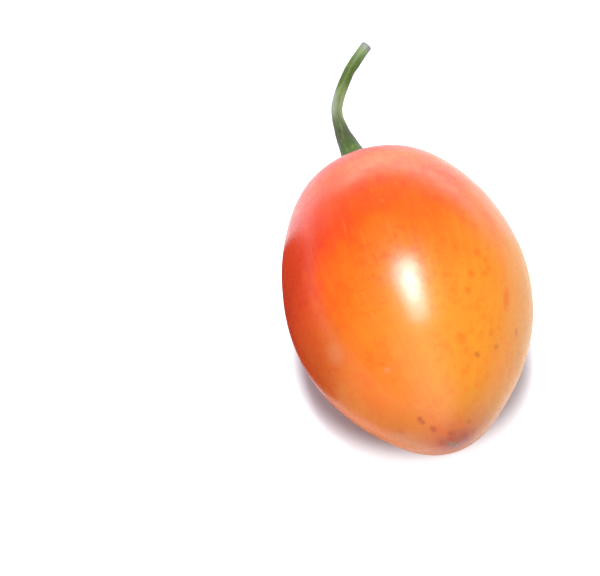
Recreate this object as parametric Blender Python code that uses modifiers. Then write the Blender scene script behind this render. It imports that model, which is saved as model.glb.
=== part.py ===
"""A ripe tamarillo lying on its side: the fruit, its five-lobed calyx and its cut stem.

Lengths in the constants are millimetres. Each piece is modelled upright, with the fruit's tip at height
0 and the stem on top, and one empty then lays the three pieces on their side. In the finished frame
the stem points to +Y and the tip to -Y, +Z is up, and the origin is the middle of the small flat
spot that the fruit rests on.
"""
from math import atan2, cos, pi, radians, sin

import bpy
from mathutils import Matrix, Vector

MM = 0.001

# The fruit
WIDTH = 48.0                # widest diameter
LENGTH = 68.2               # tip to the crest of the ring round the stem end
WIDEST_AT = 37.2            # height of the widest section above the tip
RING_RADIUS = 10.5          # crest of the raised ring of skin round the stem end
CAVITY_RADIUS = 9.3         # foot of the ring's inner side
CAVITY_DEPTH = 1.8          # crest of the ring down to the floor that the calyx covers
AXIS_BEND = 0.5             # sideways lean of the axis, BEND_SPAN from the widest section
BEND_SPAN = 34.0
OVAL = 0.006                # share of the radius by which the section is oval
THREE_LOBED = 0.006         # share of the radius by which it is faintly three-sided

# How it lies
TIP_LIFT = 1.5              # degrees that the tip is raised, because the stem end is the heavier
SPOT_DEPTH = 0.45           # the skin pressed flat where the fruit rests
SPOT_SHIFT = 0.6            # the spot's middle, from the widest section towards the stem

# The calyx
CALYX_RADIUS = 9.0
CALYX_LOBES = 5
CALYX_CLEARANCE = 0.3       # to the fruit below and to the stem above
CALYX_EDGE = 1.0            # thickness near the margin
CALYX_CROWN = 2.3           # thickness in the middle, where the stem stands
CALYX_NOTCH = 0.16          # share of the radius that a notch between two lobes cuts in
CALYX_CREASE = 0.45         # depth of the crease that runs in from each notch
STEM_SEAT_RADIUS = 4.0      # flat middle of the calyx

# The stem
STEM_BASE_RADIUS = 3.7
STEM_BEVEL = 1.0            # radius that the route's last column multiplies

# Facets
FRUIT_SIDES = 68
CALYX_SIDES = 70            # a multiple of the number of lobes
FRUIT_STEPS = 3             # stretches of the outline between two of its points
CALYX_STEPS = 2
STEM_STEPS = 3
AXIS_MERGE = 0.00001        # metres, well under the smallest facet

# Heights above the tip at which the pieces meet
CAVITY_FLOOR = LENGTH - CAVITY_DEPTH
CALYX_UNDERSIDE = CAVITY_FLOOR + CALYX_CLEARANCE
CALYX_TOP = CALYX_UNDERSIDE + CALYX_CROWN
STEM_FOOT = CALYX_TOP + CALYX_CLEARANCE

# Skin from the tip to the shoulder: share of the length, share of the half width
SKIN = [
    (0.000, 0.000), (0.007, 0.058), (0.032, 0.208), (0.076, 0.383),
    (0.150, 0.567), (0.252, 0.767), (0.389, 0.938), (0.545, 1.000),
    (0.704, 0.946), (0.839, 0.817), (0.930, 0.675), (0.977, 0.531),
]

# Stem from foot to cut end: sideways, forward (up, once laid down), height above the foot, radius
STEM_ROUTE = [
    (-0.45, 0.00, 0.0, STEM_BASE_RADIUS),
    (-0.80, 0.00, 6.0, 2.60),
    (-1.20, -0.05, 9.1, 2.15),
    (-1.85, -0.45, 14.9, 1.38),
    (-1.75, -1.30, 19.8, 1.12),
    (-0.30, -2.25, 23.4, 1.03),
    (2.90, -3.80, 28.2, 0.96),
    (4.30, -4.35, 29.6, 1.06),
    (5.10, -4.72, 30.4, 0.90),
    (7.90, -5.85, 32.8, 1.12),
]


def new_collection(name):
    collection = bpy.data.collections.new(name)
    bpy.context.scene.collection.children.link(collection)
    return collection


def finish(name, colour, roughness):
    """A plain non-metal surface."""
    material = bpy.data.materials.new(name)
    material.use_nodes = True
    shader = material.node_tree.nodes["Principled BSDF"]
    shader.inputs["Base Color"].default_value = (*colour, 1.0)
    shader.inputs["Roughness"].default_value = roughness
    shader.inputs["Metallic"].default_value = 0.0
    return material


def smooth_line(points, first_heading, last_heading, steps):
    """Points of a smooth curve through the given ones, with the headings given at its two ends."""
    knots = [Vector(point) for point in points]
    headings = [Vector(first_heading)]
    for before, after in zip(knots, knots[2:]):
        chord = after - before
        headings.append(chord / chord.length)
    headings.append(Vector(last_heading))
    line = []
    for k in range(len(knots) - 1):
        start, end = knots[k], knots[k + 1]
        reach = (end - start).length / 3
        leave = start + headings[k] * reach
        arrive = end - headings[k + 1] * reach
        for step in range(steps):
            t = step / steps
            s = 1 - t
            line.append(start * s**3 + leave * (3 * s * s * t) + arrive * (3 * s * t * t) + end * t**3)
    line.append(knots[-1])
    return line


def turned(name, outline, sides, collection):
    """A solid turned about Z from (height, radius) points, listed from the bottom to the top."""
    rows = [(point[1] * MM, 0.0, point[0] * MM) for point in reversed(outline)]
    mesh = bpy.data.meshes.new(name)
    mesh.from_pydata(rows, [(k, k + 1) for k in range(len(rows) - 1)], [])
    blank = bpy.data.objects.new(name, mesh)
    collection.objects.link(blank)
    screw = blank.modifiers.new("Turn", "SCREW")
    screw.axis = "Z"
    screw.steps = sides
    screw.render_steps = sides
    screw.use_merge_vertices = True
    screw.merge_threshold = AXIS_MERGE
    return made_mesh(blank, collection)


def made_mesh(blank, collection):
    """The object as its modifiers or its curve make it, as a mesh of its own."""
    graph = bpy.context.evaluated_depsgraph_get()
    mesh = bpy.data.meshes.new_from_object(blank.evaluated_get(graph))
    name = blank.name
    bpy.data.objects.remove(blank)
    mesh.name = name
    piece = bpy.data.objects.new(name, mesh)
    collection.objects.link(piece)
    return piece


def shape(piece, rule):
    """Move each of the piece's points by a rule that takes and gives millimetres."""
    for vertex in piece.data.vertices:
        vertex.co = rule(vertex.co / MM) * MM


def dress(piece, material):
    piece.data.materials.clear()
    piece.data.materials.append(material)
    piece.data.shade_smooth()
    piece.data.set_sharp_from_angle(angle=radians(40))


def lean(height):
    """How far the fruit's bent axis stands aside at a height above the tip."""
    return -AXIS_BEND * ((height - WIDEST_AT) / BEND_SPAN) ** 2


def swell(angle, height):
    """The section's faint lobes, which fade out towards the tip and under the ring."""
    fade = min(1.0, height / 4.0) * max(0.0, min(1.0, (CAVITY_FLOOR - height) / 10.0))
    return 1 - fade * (OVAL * sin(2 * angle) + THREE_LOBED * sin(3 * angle))


def grown(point):
    """Give the turned fruit its lobes and its bent axis."""
    factor = swell(atan2(point.y, point.x), point.z)
    return Vector((point.x * factor + lean(point.z), point.y * factor, point.z))


def lobed(point):
    """Cut the turned calyx into lobes, crease it between them and set it on the bent axis."""
    angle = atan2(point.y, point.x)
    radius = Vector((point.x, point.y)).length
    between = ((1 - cos(CALYX_LOBES * angle)) / 2) ** 4
    outward = max(0.0, (radius - STEM_SEAT_RADIUS) / (CALYX_RADIUS - STEM_SEAT_RADIUS))
    factor = 1 - CALYX_NOTCH * between * outward
    height = point.z
    if height > CALYX_UNDERSIDE + CALYX_EDGE / 2:
        height -= CALYX_CREASE * between * sin(pi * min(outward, 1.0))
    return Vector((point.x * factor + lean(height), point.y * factor, height))


def make_fruit(collection):
    skin = [(along * LENGTH, across * WIDTH / 2) for along, across in SKIN]
    stem_end = [
        (LENGTH, RING_RADIUS),
        (LENGTH - 0.5, RING_RADIUS - 0.75),
        (CAVITY_FLOOR + 0.3, CAVITY_RADIUS),
        (CAVITY_FLOOR, CAVITY_RADIUS - 0.9),
        (CAVITY_FLOOR, CAVITY_RADIUS / 2),
        (CAVITY_FLOOR, 0.0),
    ]
    outline = smooth_line(skin + stem_end, (0, 1), (0, -1), FRUIT_STEPS)
    fruit = turned("fruit", outline, FRUIT_SIDES, collection)
    shape(fruit, grown)
    dress(fruit, finish("ripe_skin", (0.78, 0.13, 0.02), 0.25))
    return fruit


def make_calyx(collection):
    edge_top = CALYX_UNDERSIDE + CALYX_EDGE
    outline = smooth_line([
        (CALYX_UNDERSIDE, 0.0),
        (CALYX_UNDERSIDE, CALYX_RADIUS * 0.5),
        (CALYX_UNDERSIDE, CALYX_RADIUS - 0.9),
        (CALYX_UNDERSIDE + 0.8, CALYX_RADIUS - 0.1),
        (edge_top + 0.35, CALYX_RADIUS),
        (edge_top + 0.25, CALYX_RADIUS - 0.8),
        (edge_top + 0.35, CALYX_RADIUS * 0.75),
        (CALYX_TOP - 0.3, STEM_SEAT_RADIUS + 0.7),
        (CALYX_TOP, STEM_SEAT_RADIUS),
        (CALYX_TOP, 0.0),
    ], (0, 1), (0, -1), CALYX_STEPS)
    calyx = turned("calyx", outline, CALYX_SIDES, collection)
    shape(calyx, lobed)
    dress(calyx, finish("green_calyx", (0.13, 0.16, 0.03), 0.6))
    return calyx


def make_stem(collection):
    route = smooth_line(STEM_ROUTE, (0, 0, 1, -0.15), (0.76, -0.29, 0.58, 0.0), STEM_STEPS)
    curve = bpy.data.curves.new("stem", "CURVE")
    curve.dimensions = "3D"
    curve.bevel_depth = STEM_BEVEL * MM
    curve.bevel_resolution = 4
    curve.use_fill_caps = True
    spline = curve.splines.new("POLY")
    spline.points.add(len(route) - 1)
    for point, (x, y, height, radius) in zip(spline.points, route):
        point.co = (x * MM, y * MM, (STEM_FOOT + height) * MM, 1.0)
        point.radius = radius / STEM_BEVEL
    blank = bpy.data.objects.new("stem", curve)
    collection.objects.link(blank)
    stem = made_mesh(blank, collection)
    weld = stem.modifiers.new("Weld the caps", "WELD")
    weld.merge_threshold = AXIS_MERGE
    dress(stem, finish("green_stem", (0.16, 0.22, 0.06), 0.5))
    return stem


def lay_down(pieces, collection):
    """Stand the upright pieces on an empty that lays them on their side over the origin."""
    turn = Matrix.Rotation(radians(-90 - TIP_LIFT), 4, "X")
    middle = turn @ Vector((0.0, 0.0, WIDEST_AT * MM))
    lowest = WIDTH / 2 * (1 + THREE_LOBED)
    bed = bpy.data.objects.new("tamarillo", None)
    bed.rotation_euler = turn.to_euler()
    bed.location = Vector((0.0, -SPOT_SHIFT * MM, (lowest - SPOT_DEPTH) * MM)) - middle
    collection.objects.link(bed)
    for piece in pieces:
        piece.parent = bed


def press_flat(fruit, collection):
    """Cut the skin off level where the fruit rests."""
    bpy.ops.mesh.primitive_cube_add(size=WIDTH * MM, location=(0.0, 0.0, -WIDTH / 2 * MM))
    table = bpy.context.object
    table.name = "table_cutter"
    for owner in list(table.users_collection):
        owner.objects.unlink(table)
    collection.objects.link(table)
    table.hide_render = True
    table.display_type = "WIRE"
    cut = fruit.modifiers.new("Resting spot", "BOOLEAN")
    cut.operation = "DIFFERENCE"
    cut.solver = "EXACT"
    cut.object = table


def main():
    for old in list(bpy.data.objects):
        bpy.data.objects.remove(old)
    pieces = new_collection("tamarillo")
    cutters = new_collection("cutters")
    fruit = make_fruit(pieces)
    calyx = make_calyx(pieces)
    stem = make_stem(pieces)
    lay_down([fruit, calyx, stem], pieces)
    press_flat(fruit, cutters)


main()
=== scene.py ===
"""The finish of a ripe tamarillo lying on its side: skin, calyx and stem, in soft light on a pale floor.

Lengths are millimetres until a mesh is laid down, which turns it to metres. A piece is modelled
upright, with the fruit's tip at height 0 and the stem on top, and LAY then puts it where it lies:
stem to +Y, tip to -Y, resting spot at the origin.
"""
from bisect import bisect_right
from math import atan2, cos, exp, pi, radians, sin, sqrt, tau
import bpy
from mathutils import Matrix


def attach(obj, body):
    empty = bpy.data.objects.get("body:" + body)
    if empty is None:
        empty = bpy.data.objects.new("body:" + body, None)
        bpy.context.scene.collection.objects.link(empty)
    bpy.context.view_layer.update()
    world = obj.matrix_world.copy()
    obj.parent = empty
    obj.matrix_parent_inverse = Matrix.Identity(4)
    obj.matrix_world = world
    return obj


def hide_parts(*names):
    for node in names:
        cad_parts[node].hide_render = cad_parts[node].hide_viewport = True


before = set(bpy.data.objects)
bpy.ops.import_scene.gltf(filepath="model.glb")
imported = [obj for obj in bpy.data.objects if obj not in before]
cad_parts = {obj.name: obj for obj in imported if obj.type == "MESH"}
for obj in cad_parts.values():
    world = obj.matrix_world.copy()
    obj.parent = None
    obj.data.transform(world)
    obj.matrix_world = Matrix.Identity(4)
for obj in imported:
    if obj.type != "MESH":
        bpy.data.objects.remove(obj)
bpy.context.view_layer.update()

from types import SimpleNamespace

import bmesh
import bpy
from mathutils import Matrix, Vector, noise

MM = 0.001

# ---------------------------------------------------------------- sizes shared with the solids

WIDTH = 48.0                # widest diameter
LENGTH = 68.2               # tip to the crest of the ring round the stem end
WIDEST_AT = 37.2            # height of the widest section above the tip
RING_RADIUS = 10.5          # crest of the raised ring of skin
CAVITY_RADIUS = 9.3
CAVITY_DEPTH = 1.8
AXIS_BEND = 0.5
BEND_SPAN = 34.0
OVAL = 0.006
THREE_LOBED = 0.006
TIP_LIFT = 1.5              # degrees
SPOT_DEPTH = 0.45
SPOT_SHIFT = 0.6
CALYX_RADIUS = 9.0
CALYX_LOBES = 5
CALYX_CLEARANCE = 0.3
CALYX_EDGE = 1.0
CALYX_CROWN = 2.3
CALYX_NOTCH = 0.16
CALYX_CREASE = 0.45
STEM_SEAT_RADIUS = 4.0
STEM_BASE_RADIUS = 3.7

CAVITY_FLOOR = LENGTH - CAVITY_DEPTH
CALYX_UNDERSIDE = CAVITY_FLOOR + CALYX_CLEARANCE
CALYX_TOP = CALYX_UNDERSIDE + CALYX_CROWN
STEM_FOOT = CALYX_TOP + CALYX_CLEARANCE

# Skin from the tip to the shoulder: share of the length, share of the half width
SKIN = [
    (0.000, 0.000), (0.007, 0.058), (0.032, 0.208), (0.076, 0.383),
    (0.150, 0.567), (0.252, 0.767), (0.389, 0.938), (0.545, 1.000),
    (0.704, 0.946), (0.839, 0.817), (0.930, 0.675), (0.977, 0.531),
]

# Stem from foot to cut end: sideways, forward (up, once laid down), height above the foot, radius
STEM_ROUTE = [
    (-0.45, 0.00, 0.0, STEM_BASE_RADIUS),
    (-0.80, 0.00, 6.0, 2.60),
    (-1.20, -0.05, 9.1, 2.15),
    (-1.85, -0.45, 14.9, 1.38),
    (-1.75, -1.30, 19.8, 1.12),
    (-0.30, -2.25, 23.4, 1.03),
    (2.90, -3.80, 28.2, 0.96),
    (4.30, -4.35, 29.6, 1.06),
    (5.10, -4.72, 30.4, 0.90),
    (7.90, -5.85, 32.8, 1.12),
]

# Where the upright pieces lie: axis height over the floor, then the turn onto the side
AXIS_HEIGHT = WIDTH / 2 * (1 + THREE_LOBED) - SPOT_DEPTH
TURN = Matrix.Rotation(radians(-90 - TIP_LIFT), 4, "X")
FRUIT_MIDDLE = Vector((0.0, -SPOT_SHIFT, AXIS_HEIGHT))
LAY = (Matrix.Diagonal((MM, MM, MM, 1.0)) @ Matrix.Translation(FRUIT_MIDDLE) @ TURN
       @ Matrix.Translation((0.0, 0.0, -WIDEST_AT)))

# ---------------------------------------------------------------- camera, light and floor

PICTURE_WIDTH = 600                 # pixels
FOCAL_PX = 2557.9                   # focal length in pixels of the picture
SENSOR_WIDTH = 36.0                 # millimetres
CAMERA_AZIMUTH = -14.38             # degrees
CAMERA_ELEVATION = 50.86
CAMERA_DISTANCE = 0.5               # metres, like the places and sizes of the stage below
CAMERA_NEAR = 0.05
CAMERA_FAR = 50.0
FRUIT_PX = (107.1, -9.9)            # the fruit's middle in the picture, right of and above its centre

STUDIO_WHITE = "#fbfcff"

# Brightness of the white walls round the fruit
WALL_HIGH = 0.45                    # high up
WALL_LOW = 0.75                     # near the floor
WALL_BACK = 3.4                     # near the floor, behind the fruit
WINDOW = 1.0                        # added by the window in front
WINDOW_GLOSS = 1.8                  # and in the gloss, where it shows more
FRONT = (-0.22, -0.84, 0.50)        # towards the window
WINDOW_EDGE = (0.70, 0.98)          # cosines of the angle to it where the window begins and is full
BEHIND = (0.3, 0.9)                 # shares of a direction along +Y where the back begins and is full
RISING = (0.04, 0.36)               # shares along +Z where the low wall ends and the high one is full

# What the gloss sees darker: towards it, cosines of the angle where that begins and is full, share left
DIM_IN_GLOSS = [
    ((-0.96, 0.28, 0.0), 0.72, 0.84, 0.05),
    ((0.96, -0.14, 0.24), 0.75, 0.95, 0.45),
    ((0.0, 0.0, 1.0), 0.18, 0.45, 0.30),
    ((-0.62, 0.73, 0.28), 0.82, 0.95, 0.20),
]

# Soft lights that shine straight down: place, size, radiance and colour
SOFTBOXES = {
    "overhead": ((-0.052, -0.03, 0.62), (0.15, 0.28), 39.5, "#fafcff"),
    "diffuser": ((-0.015, -0.02, 0.63), (0.30, 0.36), 1.5, "#ffffff"),
}

# The floor glows too, as painted light, except close round the resting spot
FLOOR_REACH = 4.0                   # from its middle to each edge
FROSTING = 900.0                    # grains of the sheet to the metre, so each is about 1 mm
GLOW = 0.85
GLOW_SHARE = 0.35                   # what the fruit gets of it
GLOW_MIDDLE = (0.002, 0.003, 0.0)
GLOW_FROM = 0.021                   # distance from the middle where the glow begins
GLOW_FULL = 0.028
GLOW_FADES = 0.040                  # and where it starts to fade, as seen by the camera
GLOW_FADED = 0.080
GLOW_FAR = 0.30                     # share of it that stays beyond
GLOW_BACK_FROM = 0.17               # and where it comes back, for a white horizon in low views
GLOW_BACK_FULL = 0.35

# Cards beside the fruit that only show in its gloss: colour and corners, seen from above
CARDS = {
    "flag": ("#8a3220", [(-0.022, 0.038), (-0.200, 0.255), (-0.210, -0.030), (-0.026, -0.012)]),
    "screen": ("#c48c70", [(-0.026, -0.012), (-0.210, -0.030), (-0.210, -0.250), (-0.060, -0.110),
                           (-0.024, -0.030)]),
    "apron": ("#dabeb0", [(-0.013, -0.006), (-0.026, -0.006), (-0.024, -0.030), (-0.010, -0.036)]),
    "reflector": ("#e6deca", [(0.027, -0.035), (0.200, -0.080), (0.200, 0.120), (0.027, 0.020)]),
}
CARD_HEIGHT = 0.0005                # over the floor


# ---------------------------------------------------------------- building blocks

def made(name, mesh, material):
    """Turn a bmesh into an object at the origin with its material, shaded smooth."""
    data = bpy.data.meshes.new(name)
    mesh.to_mesh(data)
    mesh.free()
    data.materials.append(material)
    data.shade_smooth()
    piece = bpy.data.objects.new(name, data)
    bpy.context.scene.collection.objects.link(piece)
    return piece


def placed(piece, node):
    """Say which body the piece rides on and hide the solid that it stands for."""
    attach(piece, "root")
    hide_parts(node)


def lay_down(mesh):
    """Lay an upright mesh in millimetres where it lies, in metres."""
    bmesh.ops.transform(mesh, matrix=LAY, verts=mesh.verts)


def smooth_line(points, first_heading, last_heading, steps):
    """Points of a smooth curve through the given ones, with the headings given at its two ends."""
    knots = [Vector(point) for point in points]
    headings = [Vector(first_heading)]
    for before, after in zip(knots, knots[2:]):
        chord = after - before
        headings.append(chord / chord.length)
    headings.append(Vector(last_heading))
    line = []
    for k in range(len(knots) - 1):
        start, end = knots[k], knots[k + 1]
        reach = (end - start).length / 3
        leave = start + headings[k] * reach
        arrive = end - headings[k + 1] * reach
        for step in range(steps):
            t = step / steps
            s = 1 - t
            line.append(start * s**3 + leave * (3 * s * s * t) + arrive * (3 * s * t * t) + end * t**3)
    line.append(knots[-1])
    return line


def turned(outline, sides):
    """A bmesh turned about Z from (height, radius) points, listed from the bottom to the top."""
    mesh = bmesh.new()
    row = [mesh.verts.new((radius, 0.0, height)) for height, radius in outline]
    edges = [mesh.edges.new(pair) for pair in zip(row, row[1:])]
    bmesh.ops.spin(mesh, geom=row + edges, cent=(0, 0, 0), axis=(0, 0, 1), angle=tau, steps=sides,
                   use_merge=True)
    bmesh.ops.remove_doubles(mesh, verts=mesh.verts, dist=0.0005)
    bmesh.ops.recalc_face_normals(mesh, faces=mesh.faces)
    return mesh


def clamp(value):
    return max(0.0, min(1.0, value))


def ease(start, end, value):
    """A smooth step from 0 at the start to 1 at the end."""
    share = clamp((value - start) / (end - start))
    return share * share * (3 - 2 * share)


def lumps(point, form):
    """Smooth noise as lumps of about a given height, up or down, and a given size in millimetres."""
    height, size = form
    return height * noise.noise(Vector(point) / size)


def lean(height):
    """How far the fruit's bent axis stands aside at a height above the tip."""
    return -AXIS_BEND * ((height - WIDEST_AT) / BEND_SPAN) ** 2


def swell(angle, height):
    """The section's faint lobes, which fade out towards the tip and under the ring."""
    fade = clamp(height / 4.0) * clamp((CAVITY_FLOOR - height) / 10.0)
    return 1 - fade * (OVAL * sin(2 * angle) + THREE_LOBED * sin(3 * angle))


def between_lobes(angle):
    """1 in the notches between the calyx lobes and 0 on the lobes themselves."""
    return ((1 - cos(CALYX_LOBES * angle)) / 2) ** 4


# ---------------------------------------------------------------- materials

def linear(hex_colour):
    """The linear colour of an sRGB hex value."""
    channels = [int(hex_colour[k:k + 2], 16) / 255 for k in (1, 3, 5)]
    return tuple(c / 12.92 if c <= 0.04045 else ((c + 0.055) / 1.055) ** 2.4 for c in channels) + (1.0,)


def add(tree, kind, inputs=None, **settings):
    """Add a node with its settings, and feed its inputs from nodes, sockets or plain values."""
    added = tree.nodes.new("ShaderNode" + kind)
    for name, value in settings.items():
        setattr(added, name, value)
    for key, value in (inputs or {}).items():
        if isinstance(value, bpy.types.Node):
            value = value.outputs[0]
        if isinstance(value, bpy.types.NodeSocket):
            tree.links.new(value, added.inputs[key])
        else:
            added.inputs[key].default_value = value
    return added


def blank_material(name, **values):
    """A Principled material with values on the shader's own sockets."""
    material = bpy.data.materials.new(name)
    material.use_nodes = True
    shader = material.node_tree.nodes["Principled BSDF"]
    for socket, value in values.items():
        shader.inputs[socket.replace("_", " ")].default_value = value
    return material, material.node_tree, shader


def upright_millimetres(tree):
    """Object coordinates turned back to the upright fruit, in millimetres above its tip."""
    place, turn, scale = LAY.inverted().decompose()
    where = add(tree, "TexCoord").outputs["Object"]
    return add(tree, "Mapping", {"Vector": where, "Location": place, "Rotation": turn.to_euler(),
               "Scale": scale}).outputs[0]


def masked(tree, value, start, end, strength=1.0):
    """How far a value has come from start to end, eased, times a strength."""
    return add(tree, "MapRange", {"Value": value, "From Min": start, "From Max": end, "To Min": 0.0,
               "To Max": strength}, interpolation_type="SMOOTHSTEP").outputs[0]


def together(tree, first, *others):
    """The product of masks."""
    for other in others:
        first = add(tree, "Math", {0: first, 1: other}, operation="MULTIPLY").outputs[0]
    return first


def layered(tree, base, coats):
    """Lay colours over a base one after the other, each through its mask."""
    for mask, colour in coats:
        if isinstance(colour, str):
            colour = linear(colour)
        base = add(tree, "Mix", {0: mask, 6: base, 7: colour}, data_type="RGBA").outputs[2]
    return base


def ramp(tree, value, stops):
    """Colours along a value, each stop a position and a hex colour."""
    blend = add(tree, "ValToRGB", {"Fac": value})
    elements = blend.color_ramp.elements
    while len(elements) < len(stops):
        elements.new(0.5)
    for element, (position, colour) in zip(elements, stops):
        element.position = position
        element.color = linear(colour)
    return blend.outputs[0]


def lit_floor():
    """Matt floor of an even tone, without gloss, with painted light: it glows beyond the fruit's shadow, most
    for the camera.
    """
    material, tree, shader = blank_material("floor_painted_glow", Roughness=0.9, Specular_IOR_Level=0.0)
    where = add(tree, "TexCoord").outputs["Object"]
    frosting = add(tree, "TexNoise", {"Vector": where, "Scale": FROSTING, "Detail": 2.0}).outputs[0]
    tone = layered(tree, linear("#c9cad2"), [(frosting, "#cfd0d6")])
    tree.links.new(tone, shader.inputs["Base Color"])
    away = add(tree, "VectorMath", {0: where, 1: GLOW_MIDDLE}, operation="DISTANCE").outputs["Value"]
    seen = add(tree, "LightPath").outputs["Is Camera Ray"]
    far = add(tree, "MapRange", {"Value": away, "From Min": GLOW_FADES, "From Max": GLOW_FADED,
              "To Min": GLOW, "To Max": GLOW * GLOW_FAR}, interpolation_type="SMOOTHSTEP")
    back = masked(tree, away, GLOW_BACK_FROM, GLOW_BACK_FULL, GLOW)
    far = add(tree, "Math", {0: far, 1: back}, operation="MAXIMUM")
    share = add(tree, "MapRange", {"Value": seen, "To Min": GLOW * GLOW_SHARE, "To Max": far}).outputs[0]
    # painted light: the glow fills in the floor beyond the fruit's shadow
    glow = together(tree, masked(tree, away, GLOW_FROM, GLOW_FULL), share)
    shader.inputs["Emission Color"].default_value = linear(STUDIO_WHITE)
    tree.links.new(glow, shader.inputs["Emission Strength"])
    return material


def matt_card(colour):
    """Uncoated coloured card: even and without gloss."""
    return blank_material("matt_card", Base_Color=linear(colour), Roughness=0.9, Specular_IOR_Level=0.0)[0]


# Marks on the skin: height above the tip, angle round the axis in degrees, radius, strength
CORKY_SPECKS = [
    (20.6, -94, 0.45, 0.6), (10.5, -60, 0.70, 0.65), (12.5, -44, 0.65, 0.55), (16.6, -28, 0.80, 0.60),
    (2.1, -45, 0.55, 0.8),
]
RIPE_SPECKS = [
    (22.6, -42, 0.8, 0.4), (21.4, -42, 1.0, 0.6), (20.4, -42, 1.0, 0.6), (19.2, -42, 0.9, 0.4),
    (12.7, -74, 1.4, 0.35), (22.5, -141, 0.7, 0.4), (21.0, -146, 0.7, 0.4), (26.9, -56, 0.9, 0.4),
    (25.3, -55, 0.7, 0.4), (23.7, -65, 0.9, 0.5), (24.1, -57, 0.8, 0.4), (20.6, -68, 0.9, 0.4),
]
BRUISED_SPECKS = [
    (3.8, -138, 0.65, 0.75), (3.4, -139, 0.65, 0.65), (2.1, -135, 0.80, 0.7), (1.0, -24, 0.7, 0.6),
    (1.0, -101, 0.5, 0.6), (0.5, -105, 0.5, 0.7), (0.8, -178, 0.6, 0.5), (1.8, -13, 0.7, 0.4),
]
UNRIPE_PATCHES = [
    (35.4, -105, 6.0, 0.13), (33.1, -127, 6.0, 0.12), (30.5, -115, 5.0, 0.10), (31.4, -54, 6.0, 0.10),
    (34.0, -61, 6.0, 0.12), (14.5, -174, 5.0, 0.10),
]
# Pale pinkish patches on the skin
PALE_PATCHES = [(11.9, -132, 0.7, 0.38), (42.6, -98, 0.5, 0.2), (20.2, -156, 2.6, 0.28)]
MARK_STEPS = 8              # stretches of the outline between two of its points, to place a mark


def skin_outline(steps):
    """The turned outline of the fruit, from the tip over the ring to the floor of its cavity."""
    skin = [(along * LENGTH, across * WIDTH / 2) for along, across in SKIN]
    stem_end = [
        (LENGTH, RING_RADIUS),
        (LENGTH - 0.5, RING_RADIUS - 0.75),
        (CAVITY_FLOOR + 0.3, CAVITY_RADIUS),
        (CAVITY_FLOOR, CAVITY_RADIUS - 0.9),
        (CAVITY_FLOOR, CAVITY_RADIUS / 2),
        (CAVITY_FLOOR, 0.0),
    ]
    return smooth_line(skin + stem_end, (0, 1), (0, -1), steps)


def on_skin(height, degrees):
    """The point of the upright skin at a height and an angle."""
    outline = skin_outline(MARK_STEPS)
    lower, upper = next(pair for pair in zip(outline, outline[1:]) if pair[1][0] >= height)
    share = (height - lower[0]) / (upper[0] - lower[0])
    radius = lower[1] + share * (upper[1] - lower[1])
    angle = radians(degrees)
    radius *= swell(angle, height)
    return radius * cos(angle) + lean(height), radius * sin(angle), height


def specks(tree, place, marks):
    """A mask of soft round marks, each at its own place on the skin."""
    mask = 0.0
    for height, degrees, radius, strength in marks:
        away = add(tree, "VectorMath", {0: place, 1: on_skin(height, degrees)}, operation="DISTANCE")
        spot = masked(tree, away.outputs["Value"], radius * 1.25, radius * 0.35, strength)
        mask = add(tree, "Math", {0: mask, 1: spot}, operation="MAXIMUM").outputs[0]
    return mask


def skin_fields(tree):
    """Where a point of the skin is on the upright fruit, and the noises that vary its colour.

    shaded is 1 on the shaded side of the fruit and -1 on the sunny side.
    """
    place = upright_millimetres(tree)
    flat = add(tree, "VectorMath", {0: place, 1: (1.0, 1.0, 0.0)}, operation="MULTIPLY")
    around = add(tree, "VectorMath", {0: flat}, operation="NORMALIZE").outputs[0]
    half = WIDTH / 2

    # streaks follow the meridians: 1.6 mm wide at the widest section and ten times as long
    drawn_out = add(tree, "VectorMath", {0: place, 1: (0.0, 0.0, 1 / 10)}, operation="MULTIPLY")
    meridians = add(tree, "VectorMath", {0: around, 1: (half, half, 0.0), 2: drawn_out},
                    operation="MULTIPLY_ADD")
    return SimpleNamespace(
        place=place,
        height=add(tree, "SeparateXYZ", {"Vector": place}).outputs["Z"],
        radius=add(tree, "VectorMath", {0: flat}, operation="LENGTH").outputs["Value"],
        shaded=add(tree, "SeparateXYZ", {"Vector": around}).outputs["X"],
        streaks=add(tree, "TexNoise", {"Vector": meridians, "Scale": 1 / 1.6, "Detail": 3.0,
                    "Roughness": 0.6}).outputs[0],
        patches=add(tree, "TexNoise", {"Vector": place, "Scale": 1 / 15, "Detail": 2.0}).outputs[0],
        mottling=add(tree, "TexNoise", {"Vector": place, "Scale": 1 / 2.8, "Detail": 4.0,
                     "Roughness": 0.6}).outputs[0],
        freckles=add(tree, "TexNoise", {"Vector": place, "Scale": 1 / 1.7, "Detail": 4.0,
                     "Roughness": 0.7}).outputs[0],
        fine=add(tree, "TexNoise", {"Vector": place, "Scale": 1 / 0.8, "Detail": 3.0}).outputs[0],
    )


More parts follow.
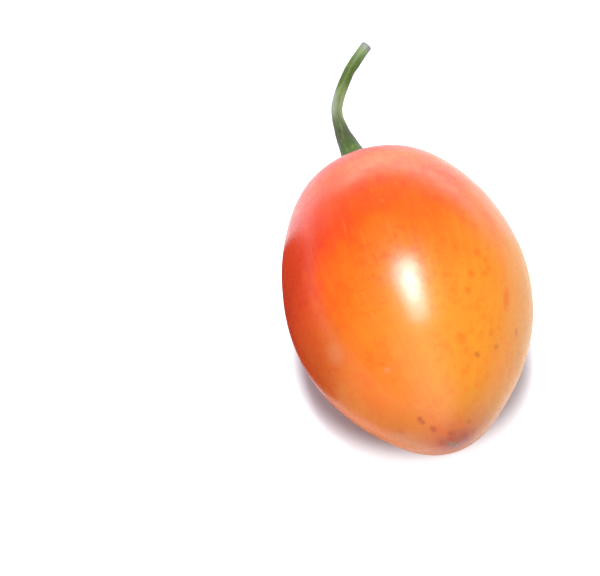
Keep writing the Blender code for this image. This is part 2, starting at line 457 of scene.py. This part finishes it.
def ripening(tree, skin):
    """The peel's own colour, from yellow-orange to red, ripest on the sunny side and at the stem."""
    # from 0, yellow-orange, to 1, red
    ripeness = add(tree, "MapRange", {"Value": skin.shaded, "From Min": 0.9, "From Max": -0.1,
                   "To Min": -0.41, "To Max": -0.32})
    for field, share in ((skin.patches, 0.24), (skin.streaks, 0.34), (skin.mottling, 0.24)):
        ripeness = add(tree, "Math", {0: field, 1: share, 2: ripeness}, operation="MULTIPLY_ADD")
    changes = [
        together(tree, masked(tree, skin.height, 15.5, 43.0), masked(tree, skin.shaded, 0.95, 0.45, 0.62)),
        together(tree, masked(tree, skin.freckles, 0.48, 0.62, 0.15), masked(tree, skin.patches, 0.40, 0.56)),
        masked(tree, skin.shaded, 0.1, -0.75, 0.26),
        masked(tree, skin.height, 49.0, 58.0, -0.20),
        masked(tree, skin.height, 58.0, 64.0, 0.45),
    ]
    for change in changes:
        ripeness = add(tree, "Math", {0: ripeness, 1: change}, operation="ADD")
    unripe = specks(tree, skin.place, UNRIPE_PATCHES)
    ripeness = add(tree, "Math", {0: ripeness, 1: unripe}, operation="SUBTRACT")
    return ramp(tree, ripeness, [(0.0, "#ca7c20"), (0.25, "#cb6d1a"), (0.5, "#cc5b0f"),
                (0.75, "#ce4608"), (1.0, "#be3106")])


def skin_coats(tree, skin):
    """Fine grain, paler streaks, painted shade as a deeper red low on the sunny side, soft darker dots and
    pale flecks.
    """
    # painted shade: darkens the sunny side to a deeper red between about 12 and 50 mm above the tip
    painted_side_shade = together(tree, masked(tree, skin.shaded, -0.65, -1.0, 0.45),
                       masked(tree, skin.height, 50.0, 38.0), masked(tree, skin.height, 12.0, 24.0))

    # dots in some of the cells, which are 6 mm across, and flecks in few of the cells of 3.5 mm
    dots = add(tree, "TexVoronoi", {"Vector": skin.place, "Scale": 1 / 6})
    chosen = masked(tree, dots.outputs["Color"], 0.55, 0.75)
    dot = together(tree, masked(tree, dots.outputs["Distance"], 0.22, 0.06, 0.35), chosen)
    flecks = add(tree, "TexVoronoi", {"Vector": skin.place, "Scale": 1 / 3.5})
    rare = masked(tree, flecks.outputs["Color"], 0.72, 0.8)
    fleck = together(tree, masked(tree, flecks.outputs["Distance"], 0.09, 0.03, 0.4), rare)
    return [
        (masked(tree, skin.fine, 0.55, 0.8, 0.25), "#a84a10"),
        (masked(tree, skin.streaks, 0.58, 0.74, 0.12), "#d2a040"),
        (painted_side_shade, "#98280a"),
        (dot, "#b0400c"),
        (fleck, "#d9a05a"),
    ]


def ragged_distance(tree, skin, middle):
    """How far a point lies from a middle, with the noise that makes the edges of a mark ragged."""
    ragged = add(tree, "Math", {0: skin.mottling, 1: 4.0, 2: -3.0}, operation="MULTIPLY_ADD")
    ragged = add(tree, "Math", {0: skin.fine, 1: 2.0, 2: ragged}, operation="MULTIPLY_ADD")
    away = add(tree, "VectorMath", {0: skin.place, 1: middle}, operation="DISTANCE").outputs["Value"]
    return add(tree, "Math", {0: away, 1: ragged}, operation="ADD").outputs[0]


def tip_scar(tree, skin):
    """The mask of the small scar where the flower fell."""
    return masked(tree, ragged_distance(tree, skin, (lean(0.0), 0.0, 0.0)), 1.5, 0.2, 0.6)


def tip_coats(tree, skin, scar):
    """Painted shade, brownish, over the last 10 mm towards the tip, and a red-brown blush, more to one side,
    round the olive-grey scar.
    """
    aside = ragged_distance(tree, skin, (0.6, 0.0, 0.0))
    return [
        # painted shade: a brownish darkening of the skin towards the tip, where it faces the floor
        (masked(tree, skin.height, 10.0, 3.0, 0.30), "#9c6c2c"),
        (masked(tree, aside, 9.5, 2.5, 0.60), "#a8441e"),
        (masked(tree, aside, 4.6, 1.6, 0.65), "#86392a"),
        (scar, "#7d6f56"),
    ]


def stem_end_coats(tree, skin):
    """An olive stain with dark blotches, a painted highlight on the ring's crest and painted shade in its
    groove.
    """
    blots = add(tree, "TexNoise", {"Vector": skin.place, "Scale": 1 / 3.4, "Detail": 5.0,
                "Roughness": 0.6, "Distortion": 0.8}).outputs[0]
    wavy = add(tree, "Math", {0: blots, 1: 8.0, 2: skin.height}, operation="MULTIPLY_ADD").outputs[0]
    blotches = together(tree, masked(tree, blots, 0.47, 0.62, 0.65), masked(tree, skin.height, 62.0, 66.5),
                        masked(tree, skin.patches, 0.40, 0.54))
    upper = masked(tree, skin.height, 60.0, 62.0)
    # painted highlight: a pale broken line along the crest of the ring
    crest_wander = add(tree, "Math", {0: blots, 1: 1.6, 2: skin.radius}, operation="MULTIPLY_ADD").outputs[0]
    crest = together(tree, upper, masked(tree, crest_wander, 12.1, 11.3, 0.6),
                     masked(tree, skin.radius, 10.0, 10.4), masked(tree, skin.mottling, 0.30, 0.60))
    # painted shade: the groove inside the ring is darkened; the olive patches laid over it are the skin's own
    # colour
    groove = together(tree, upper, masked(tree, skin.radius, 10.3, 9.6, 0.85))
    return [
        (masked(tree, wavy, 67.8, 72.5, 0.8), "#76691c"),
        (blotches, "#523a28"),
        (crest, "#c4b8a8"),
        (groove, "#4b3d3a"),
        (together(tree, groove, masked(tree, skin.patches, 0.46, 0.56)), "#5d5620"),
    ]


def mark_coats(tree, skin):
    """The marks that have a place of their own, with edges a third of a millimetre uneven."""
    warp = add(tree, "TexNoise", {"Vector": skin.place, "Scale": 1 / 0.9, "Detail": 2.0}).outputs["Color"]
    uneven = add(tree, "VectorMath", {0: warp, 1: (0.7, 0.7, 0.7), 2: skin.place},
                 operation="MULTIPLY_ADD")
    uneven = add(tree, "VectorMath", {0: uneven, 1: (0.35, 0.35, 0.35)}, operation="SUBTRACT").outputs[0]
    return [
        (specks(tree, uneven, RIPE_SPECKS), "#c8500c"),
        (specks(tree, uneven, BRUISED_SPECKS), "#963610"),
        (specks(tree, uneven, PALE_PATCHES), "#bd7c58"),
        (specks(tree, uneven, CORKY_SPECKS), "#98541a"),
    ]


def ripe_skin():
    """Ripe tamarillo skin: a tough smooth peel, grown under a thin natural wax.

    It is glossy, with a highlight that the wax keeps a little soft. It ripens from yellow-orange at
    the tip to red at the stem and on the sunny side, with faint streaks along the fruit, small corky
    specks, a brown scar where the flower fell and an olive stain round the stem end.
    """
    material, tree, shader = blank_material("waxy_tamarillo_skin", IOR=1.45)
    skin = skin_fields(tree)
    scar = tip_scar(tree, skin)
    coats = (skin_coats(tree, skin) + tip_coats(tree, skin, scar) + stem_end_coats(tree, skin)
             + mark_coats(tree, skin))
    tree.links.new(layered(tree, ripening(tree, skin), coats), shader.inputs["Base Color"])

    # the wax is thinner in places, and dull on the scar
    gloss = add(tree, "MapRange", {"Value": skin.mottling, "From Min": 0.3, "From Max": 0.7,
                "To Min": 0.24, "To Max": 0.31})
    gloss = add(tree, "Math", {0: scar, 1: 0.3, 2: gloss}, operation="MULTIPLY_ADD")
    tree.links.new(gloss.outputs[0], shader.inputs["Roughness"])
    pitted = add(tree, "Math", {0: skin.streaks, 1: 0.5, 2: skin.fine}, operation="MULTIPLY_ADD")
    relief = add(tree, "Bump", {"Strength": 0.12, "Distance": 0.00005, "Height": pitted})
    tree.links.new(relief.outputs[0], shader.inputs["Normal"])
    return material


def green_calyx():
    """Calyx flesh, leathery and green, whose lobes have dried to tan paper along their margins.

    The flesh is mottled from olive to yellow-green with darker folds, and the paper is matt.
    """
    material, tree, shader = blank_material("leathery_calyx", IOR=1.45)
    place = upright_millimetres(tree)
    papery = add(tree, "Attribute", attribute_name="papery").outputs["Fac"]
    fold = add(tree, "Attribute", attribute_name="fold").outputs["Fac"]
    mottling = add(tree, "TexNoise", {"Vector": place, "Scale": 1 / 1.8, "Detail": 4.0,
                   "Roughness": 0.6, "Distortion": 0.7}).outputs[0]
    fine = add(tree, "TexNoise", {"Vector": place, "Scale": 1 / 0.35, "Detail": 3.0}).outputs[0]
    flesh = ramp(tree, mottling, [(0.30, "#33421a"), (0.48, "#55651f"), (0.62, "#77842f"),
                 (0.75, "#9aa552")])
    stained = [on_calyx(8.2, 40), on_calyx(7.8, -50)]
    rot = 0.0
    for spot in stained:
        away = add(tree, "VectorMath", {0: place, 1: spot}, operation="DISTANCE").outputs["Value"]
        away = add(tree, "Math", {0: mottling, 1: 1.6, 2: away}, operation="MULTIPLY_ADD").outputs[0]
        rot = add(tree, "Math", {0: rot, 1: masked(tree, away, 2.5, 1.6, 0.9)}, operation="MAXIMUM")
        rot = rot.outputs[0]
    tone = layered(tree, flesh, [
        (masked(tree, fold, 0.1, 0.9, 0.6), "#28351a"),
        (masked(tree, fine, 0.6, 0.8, 0.35), "#aab06a"),
        (papery, "#b58c70"),
        (together(tree, papery, masked(tree, mottling, 0.45, 0.60, 0.7)), "#dccbac"),
        (together(tree, papery, masked(tree, fine, 0.55, 0.75, 0.5)), "#8a6a58"),
        (rot, "#1d2417"),
    ])
    tree.links.new(tone, shader.inputs["Base Color"])
    gloss = add(tree, "MapRange", {"Value": papery, "To Min": 0.45, "To Max": 0.85})
    tree.links.new(gloss.outputs[0], shader.inputs["Roughness"])
    relief = add(tree, "Bump", {"Strength": 0.5, "Distance": 0.00015, "Height": fine})
    tree.links.new(relief.outputs[0], shader.inputs["Normal"])
    return material


def green_stem():
    """Green woody stem, cut with a knife: satin bark with fine lines along it and a pale dry end.

    It is green at the foot, darker above it and lighter grey-green along the thin part; on the bend one side
    has painted light and the other a painted grey sheen.
    """
    material, tree, shader = blank_material("green_stem_bark", IOR=1.45, Specular_IOR_Level=0.35)
    place = upright_millimetres(tree)
    along = add(tree, "Attribute", attribute_name="along").outputs["Fac"]
    grain = add(tree, "Attribute", attribute_name="grain").outputs["Vector"]
    cut = add(tree, "Attribute", attribute_name="cut").outputs["Fac"]
    mottling = add(tree, "TexNoise", {"Vector": place, "Scale": 1 / 2.2, "Detail": 4.0}).outputs[0]
    lines = add(tree, "TexNoise", {"Vector": grain, "Scale": 1 / 0.4, "Detail": 3.0}).outputs[0]
    shifted = add(tree, "Math", {0: mottling, 1: 0.10, 2: along}, operation="MULTIPLY_ADD")
    shifted = add(tree, "Math", {0: shifted, 1: 0.05}, operation="SUBTRACT").outputs[0]
    bark = ramp(tree, shifted, [(0.0, "#3c5a26"), (0.12, "#50582e"), (0.22, "#4a5c2a"),
                (0.28, "#3d5026"), (0.32, "#434b2c"), (0.37, "#383f22"), (0.43, "#4f5836"),
                (0.58, "#626c48"), (0.68, "#54642f"), (0.74, "#44551c"), (0.86, "#46581c"),
                (0.92, "#607245"), (0.96, "#6f8055"), (1.0, "#7b7c78")])
    side = add(tree, "SeparateXYZ", {"Vector": grain}).outputs["X"]
    dried = together(tree, masked(tree, side, 0.0, 1.3, 0.5), masked(tree, along, 0.27, 0.33),
                     masked(tree, along, 0.45, 0.38))
    # painted light: one side of the bend lighter yellow-green
    painted_lit_side = together(tree, masked(tree, side, 0.2, 1.2, 0.5), masked(tree, along, 0.40, 0.50),
                      masked(tree, along, 0.76, 0.62))
    # painted highlight: a grey sheen on the other side of the bend
    painted_grey_sheen = together(tree, masked(tree, side, 0.2, -1.3, 0.7), masked(tree, along, 0.46, 0.56),
                     masked(tree, along, 0.71, 0.62))
    tone = layered(tree, bark, [
        (dried, "#4e473c"),
        (painted_lit_side, "#8f9a68"),
        (painted_grey_sheen, "#8d9386"),
        (masked(tree, lines, 0.55, 0.75, 0.28), "#8f9c66"),
        (masked(tree, lines, 0.45, 0.25, 0.50), "#2c3519"),
        (masked(tree, mottling, 0.60, 0.72, 0.35), "#74862c"),
        (masked(tree, cut, 0.25, 0.6), "#6a6660"),
        (masked(tree, cut, 0.6, 0.9), "#c2c4b8"),
    ])
    tree.links.new(tone, shader.inputs["Base Color"])
    gloss = add(tree, "MapRange", {"Value": lines, "To Min": 0.38, "To Max": 0.58})
    tree.links.new(gloss.outputs[0], shader.inputs["Roughness"])
    relief = add(tree, "Bump", {"Strength": 0.5, "Distance": 0.00008, "Height": lines})
    tree.links.new(relief.outputs[0], shader.inputs["Normal"])
    return material


# ---------------------------------------------------------------- the camera and the stage

def make_camera():
    """Look down on the fruit so that it lies right of the middle of the picture."""
    a, e = radians(CAMERA_AZIMUTH), radians(CAMERA_ELEVATION)
    back = Vector((sin(a) * cos(e), -cos(a) * cos(e), sin(e)))
    right = Vector((cos(a), sin(a), 0.0))
    upright = Matrix((right, back.cross(right), back)).transposed()
    towards_fruit = Vector((FRUIT_PX[0], FRUIT_PX[1], -FOCAL_PX))
    aside = towards_fruit.rotation_difference(Vector((0.0, 0.0, -1.0))).to_matrix()
    data = bpy.data.cameras.new("camera")
    data.sensor_width = SENSOR_WIDTH
    data.lens = FOCAL_PX * SENSOR_WIDTH / PICTURE_WIDTH
    data.clip_start = CAMERA_NEAR
    data.clip_end = CAMERA_FAR
    camera = bpy.data.objects.new("camera", data)
    camera.matrix_world = (upright @ aside).to_4x4()
    camera.location = FRUIT_MIDDLE * MM + back * CAMERA_DISTANCE
    bpy.context.scene.collection.objects.link(camera)
    bpy.context.scene.camera = camera


def softbox(name, place, size, radiance, colour):
    """A rectangular soft light high over the fruit, shining straight down."""
    data = bpy.data.lights.new(name, "AREA")
    data.shape = "RECTANGLE"
    data.size, data.size_y = size
    data.energy = radiance * pi * size[0] * size[1]
    data.color = linear(colour)[:3]
    lamp = bpy.data.objects.new(name, data)
    lamp.location = place
    bpy.context.scene.collection.objects.link(lamp)


def studio_surround():
    """White walls round the fruit: bright behind and in front, dimmer above and, in the gloss, aside."""
    world = bpy.data.worlds.new("studio")
    world.use_nodes = True
    tree = world.node_tree
    towards = add(tree, "TexCoord").outputs["Generated"]
    axes = add(tree, "SeparateXYZ", {"Vector": towards})
    low = add(tree, "MapRange", {"Value": axes.outputs["Y"], "From Min": BEHIND[0], "From Max": BEHIND[1],
              "To Min": WALL_LOW, "To Max": WALL_BACK}, interpolation_type="SMOOTHSTEP")
    wall = add(tree, "MapRange", {"Value": axes.outputs["Z"], "From Min": RISING[0], "From Max": RISING[1],
               "To Min": low, "To Max": WALL_HIGH}, interpolation_type="SMOOTHSTEP").outputs[0]
    facing = add(tree, "VectorMath", {0: towards, 1: FRONT}, operation="DOT_PRODUCT").outputs["Value"]
    window = masked(tree, facing, *WINDOW_EDGE)
    rays = add(tree, "LightPath")
    gloss = rays.outputs["Is Glossy Ray"]
    for side, begins, full, left in DIM_IN_GLOSS:
        facing = add(tree, "VectorMath", {0: towards, 1: side}, operation="DOT_PRODUCT").outputs["Value"]
        dimmed = together(tree, gloss, masked(tree, facing, begins, full, 1 - left))
        kept = add(tree, "Math", {0: 1.0, 1: dimmed}, operation="SUBTRACT").outputs[0]
        wall = together(tree, wall, kept)
    strength = add(tree, "MapRange", {"Value": gloss, "To Min": WINDOW, "To Max": WINDOW_GLOSS}).outputs[0]
    lit = add(tree, "Math", {0: window, 1: strength, 2: wall}, operation="MULTIPLY_ADD")
    lit = add(tree, "Math", {0: lit, 1: rays.outputs["Is Camera Ray"]}, operation="MAXIMUM")
    surround = tree.nodes["Background"]
    surround.inputs["Color"].default_value = linear(STUDIO_WHITE)
    tree.links.new(lit.outputs[0], surround.inputs["Strength"])
    bpy.context.scene.world = world


def make_floor():
    """The plain floor that the fruit lies on."""
    mesh = bmesh.new()
    bmesh.ops.create_grid(mesh, x_segments=1, y_segments=1, size=FLOOR_REACH)
    made("floor", mesh, lit_floor())


def make_cards():
    """A dark card and warm ones keep the left edges from turning pale; a cream one warms the right edge."""
    for name, (colour, corners) in CARDS.items():
        mesh = bmesh.new()
        mesh.faces.new([mesh.verts.new((x, y, CARD_HEIGHT)) for x, y in corners])
        card = made(name, mesh, matt_card(colour))
        card.visible_camera = False
        card.visible_shadow = False
        card.visible_diffuse = False


# ---------------------------------------------------------------- the pieces

FRUIT_SIDES = 180
CALYX_SIDES = 240
STEM_SIDES = 48
FRUIT_STEPS = 12            # stretches of the outline between two of its points
CALYX_STEPS = 9
STEM_STEPS = 14

# Skin
DENTS = (0.10, 13.0)        # depth and size
RIPPLES = (0.015, 4.5)
POLE_RADIUS = 4.0           # inside it, dents shrink towards the two ends
RING_WIDTH = 1.1            # of the ring's uneven crest
RING_WAVE = 0.16            # height of its five waves, one for each calyx lobe
RING_LUMPS = (0.14, 4.0)
SCAR_RADIUS = 1.1           # of the raised scar at the tip
SCAR_RISE = 0.22
SCAR_GRAIN = (0.10, 0.7)
PRESS = 0.00015             # metres: how softly the skin rounds off into the resting spot

# Calyx
LOBE_LEVEL = 1.3            # the lobes' upper side over the calyx's underside
MARGIN_RAGS = (0.20, 1.7)   # depth and size
MARGIN_FRAYS = (0.10, 0.6)
PAPER_FROM = 7.6            # radius where the calyx turns to dry paper
PAPER_WAVES = (0.9, 1.9)    # by how much that line wanders
PAPER_TURN = 0.4            # width over which it turns
PAPER_OVERHANG = 0.35       # how far the dry margins reach past the leathery lobes
PAPER_CURL = 0.28           # and curl up
RIB = (0.16, 0.7)           # height and half width of the rib along each lobe
LOBE_LUMPS = (0.10, 1.6)
LOBE_GRAIN = (0.05, 0.6)

# Stem
BARK_THINNEST = 1.18        # radius: the bark evens out the thin part of the stem
BARK_SWELL = 0.16           # and is a little thicker above the foot
GRAIN_RADIUS = 1.6          # the bark's lines are laid out round a rod of this radius
FOOT_SUNK = 0.5             # how far the foot is pressed into the calyx
FOOT_RIBS = 0.055           # shares of the radius
BARK_LINES = 0.02
BARK_LUMPS = 0.05
CUT_END = [(0.06, 0.93), (0.02, 0.80), (-0.10, 0.45), (-0.12, 0.0)]     # rise, share of the radius
CUT_REACH = 0.13            # from the end, past the lowest of them
CUT_HOLLOW = 0.79           # share of the radius within which the cut is sunk


def make_fruit():
    """The skin, a little uneven, with the raised ring round the stem end and the scar at the tip."""
    mesh = turned(skin_outline(FRUIT_STEPS), FRUIT_SIDES)
    for vertex in mesh.verts:
        x, y, height = vertex.co
        angle, radius = atan2(y, x), sqrt(x * x + y * y)
        dent = lumps(vertex.co, DENTS) + lumps(vertex.co, RIPPLES)
        dent *= ease(0.0, 6.0, height) * ease(CAVITY_FLOOR, CAVITY_FLOOR - 4.0, height)
        on_ring = exp(-((radius - RING_RADIUS) / RING_WIDTH) ** 2) * ease(60.0, 64.0, height)
        lift = on_ring * (RING_WAVE * cos(CALYX_LOBES * angle + 0.6) + lumps((x, y, 3.0), RING_LUMPS))
        near_tip = exp(-(radius / SCAR_RADIUS) ** 2) * ease(6.0, 2.0, height)
        lift += near_tip * (SCAR_RISE + lumps(vertex.co, SCAR_GRAIN))
        factor = swell(angle, height) * (1 + dent / max(radius, POLE_RADIUS))
        vertex.co = (x * factor + lean(height), y * factor, height + lift)
    lay_down(mesh)
    for vertex in mesh.verts:
        vertex.co.z = (vertex.co.z + sqrt(vertex.co.z ** 2 + PRESS ** 2)) / 2
    placed(made("fruit_skin", mesh, ripe_skin()), "fruit")


def on_calyx(radius, degrees):
    """A point of the upright calyx's upper side."""
    angle = radians(degrees)
    return radius * cos(angle) + lean(CALYX_TOP), radius * sin(angle), CALYX_UNDERSIDE + LOBE_LEVEL


def make_calyx():
    """Five leathery lobes pressed into the ring, with ribs, folds and dry curled margins."""
    edge_top = CALYX_UNDERSIDE + CALYX_EDGE
    outline = smooth_line([
        (CALYX_UNDERSIDE, 0.0),
        (CALYX_UNDERSIDE, CALYX_RADIUS * 0.5),
        (CALYX_UNDERSIDE, CALYX_RADIUS - 0.9),
        (CALYX_UNDERSIDE + 0.8, CALYX_RADIUS - 0.1),
        (edge_top + 0.35, CALYX_RADIUS),
        (edge_top + 0.25, CALYX_RADIUS - 0.8),
        (edge_top + 0.35, CALYX_RADIUS * 0.75),
        (CALYX_TOP - 0.3, STEM_SEAT_RADIUS + 0.7),
        (CALYX_TOP, STEM_SEAT_RADIUS),
        (CALYX_TOP, 0.0),
    ], (0, 1), (0, -1), CALYX_STEPS)
    mesh = turned(outline, CALYX_SIDES)
    half_lobe = pi / CALYX_LOBES
    papery = mesh.verts.layers.float.new("papery")
    fold = mesh.verts.layers.float.new("fold")
    for vertex in mesh.verts:
        x, y, height = vertex.co
        angle, radius = atan2(y, x), sqrt(x * x + y * y)
        notch = between_lobes(angle)
        outward = clamp((radius - STEM_SEAT_RADIUS) / (CALYX_RADIUS - STEM_SEAT_RADIUS))
        ragged = outward * (lumps((x, y, 0.0), MARGIN_RAGS) + lumps((x, y, 5.0), MARGIN_FRAYS))
        factor = 1 - CALYX_NOTCH * notch * outward + (ragged + PAPER_OVERHANG * outward ** 4) / CALYX_RADIUS
        rim = clamp((radius - PAPER_FROM - lumps((x, y, 9.0), PAPER_WAVES)) / PAPER_TURN) * (1 - notch) ** 2
        vertex[papery] = rim
        vertex[fold] = notch * sin(pi * outward)
        if height > CALYX_UNDERSIDE + CALYX_EDGE / 2:
            height -= CALYX_CREASE * notch * sin(pi * outward)
            beside = radius * sin((angle + half_lobe) % (2 * half_lobe) - half_lobe)
            rib = exp(-(beside / RIB[1]) ** 2)
            height += RIB[0] * rib * sin(pi * outward) + PAPER_CURL * rim * outward ** 3
            height += outward * (lumps((x, y, 2.0), LOBE_LUMPS) + lumps((x, y, 4.0), LOBE_GRAIN))
        vertex.co = (x * factor + lean(height), y * factor, height)
    lay_down(mesh)
    placed(made("calyx_lobes", mesh, green_calyx()), "calyx")


def without_twist(tangents):
    """Turns from upright to each tangent that follow a line without twisting round it."""
    turns = [Vector((0.0, 0.0, 1.0)).rotation_difference(tangents[0])]
    for before, after in zip(tangents, tangents[1:]):
        turns.append(before.rotation_difference(after) @ turns[-1])
    return turns


def make_stem():
    """A straight rod, turned with its ribbed foot and cut end, then bent along the stem's route."""
    route = smooth_line(STEM_ROUTE, (0, 0, 1, -0.15), (0.76, -0.29, 0.58, 0.0), STEM_STEPS)
    places = [Vector((x, y, STEM_FOOT + rise)) for x, y, rise, radius in route]
    lengths = [0.0]
    for before, after in zip(places, places[1:]):
        lengths.append(lengths[-1] + (after - before).length)
    length = lengths[-1]
    last = len(places) - 1
    tangents = [(places[min(k + 1, last)] - places[max(k - 1, 0)]).normalized() for k in range(last + 1)]
    turns = without_twist(tangents)

    bark = [max(radius + BARK_SWELL * ease(2.0, 6.0, rise) * ease(20.0, 16.0, rise), BARK_THINNEST)
            for x, y, rise, radius in route]
    outline = [(0.0, 0.0), (0.0, STEM_BASE_RADIUS * 0.5)]
    outline += list(zip(lengths, bark))
    end = BARK_THINNEST
    outline += [(length + rise, end * share) for rise, share in CUT_END]
    mesh = turned(outline, STEM_SIDES)
    share = mesh.verts.layers.float.new("along")
    grain = mesh.verts.layers.float_vector.new("grain")
    cut = mesh.verts.layers.float.new("cut")
    for vertex in mesh.verts:
        x, y, along = vertex.co
        angle, radius = atan2(y, x), sqrt(x * x + y * y)
        k = min(max(bisect_right(lengths, along) - 1, 0), last - 1)
        t = clamp((along - lengths[k]) / (lengths[k + 1] - lengths[k]))
        whole = bark[k] + t * (bark[k + 1] - bark[k])
        inside = clamp((whole - radius) / whole * 6.0) * ease(length - 0.4, length - 0.1, along)
        round_x, round_y = cos(angle) * GRAIN_RADIUS, sin(angle) * GRAIN_RADIUS
        vertex[share] = along / length
        vertex[grain] = (round_x, round_y, along * 0.10)
        vertex[cut] = inside
        uneven = FOOT_RIBS * cos(CALYX_LOBES * angle + pi) * ease(9.0, 1.0, along)
        uneven += lumps((round_x, round_y, along * 0.12), (BARK_LINES, 0.5))
        uneven += lumps((cos(angle), sin(angle), along * 0.5), (BARK_LUMPS, 1.3))
        factor = 1 + uneven * (1 - inside)
        turn = turns[k].slerp(turns[k + 1], t)
        sunk = turn @ Vector((0.0, 0.0, FOOT_SUNK * ease(1.2, 0.0, along)))
        over = tangents[k] * (along - length) if along > length else Vector()
        centre = places[k].lerp(places[k + 1], t)
        vertex.co = centre + turn @ Vector((x * factor, y * factor, 0.0)) - sunk + over
        if along > length - CUT_REACH and radius < end * CUT_HOLLOW:
            vertex.co += tangents[-1] * (along - length)
    lay_down(mesh)
    placed(made("stem_bark", mesh, green_stem()), "stem")


bpy.context.scene.view_settings.view_transform = "Standard"
make_camera()
studio_surround()
for name, settings in SOFTBOXES.items():
    softbox(name, *settings)
make_floor()
make_cards()
make_fruit()
make_calyx()
make_stem()
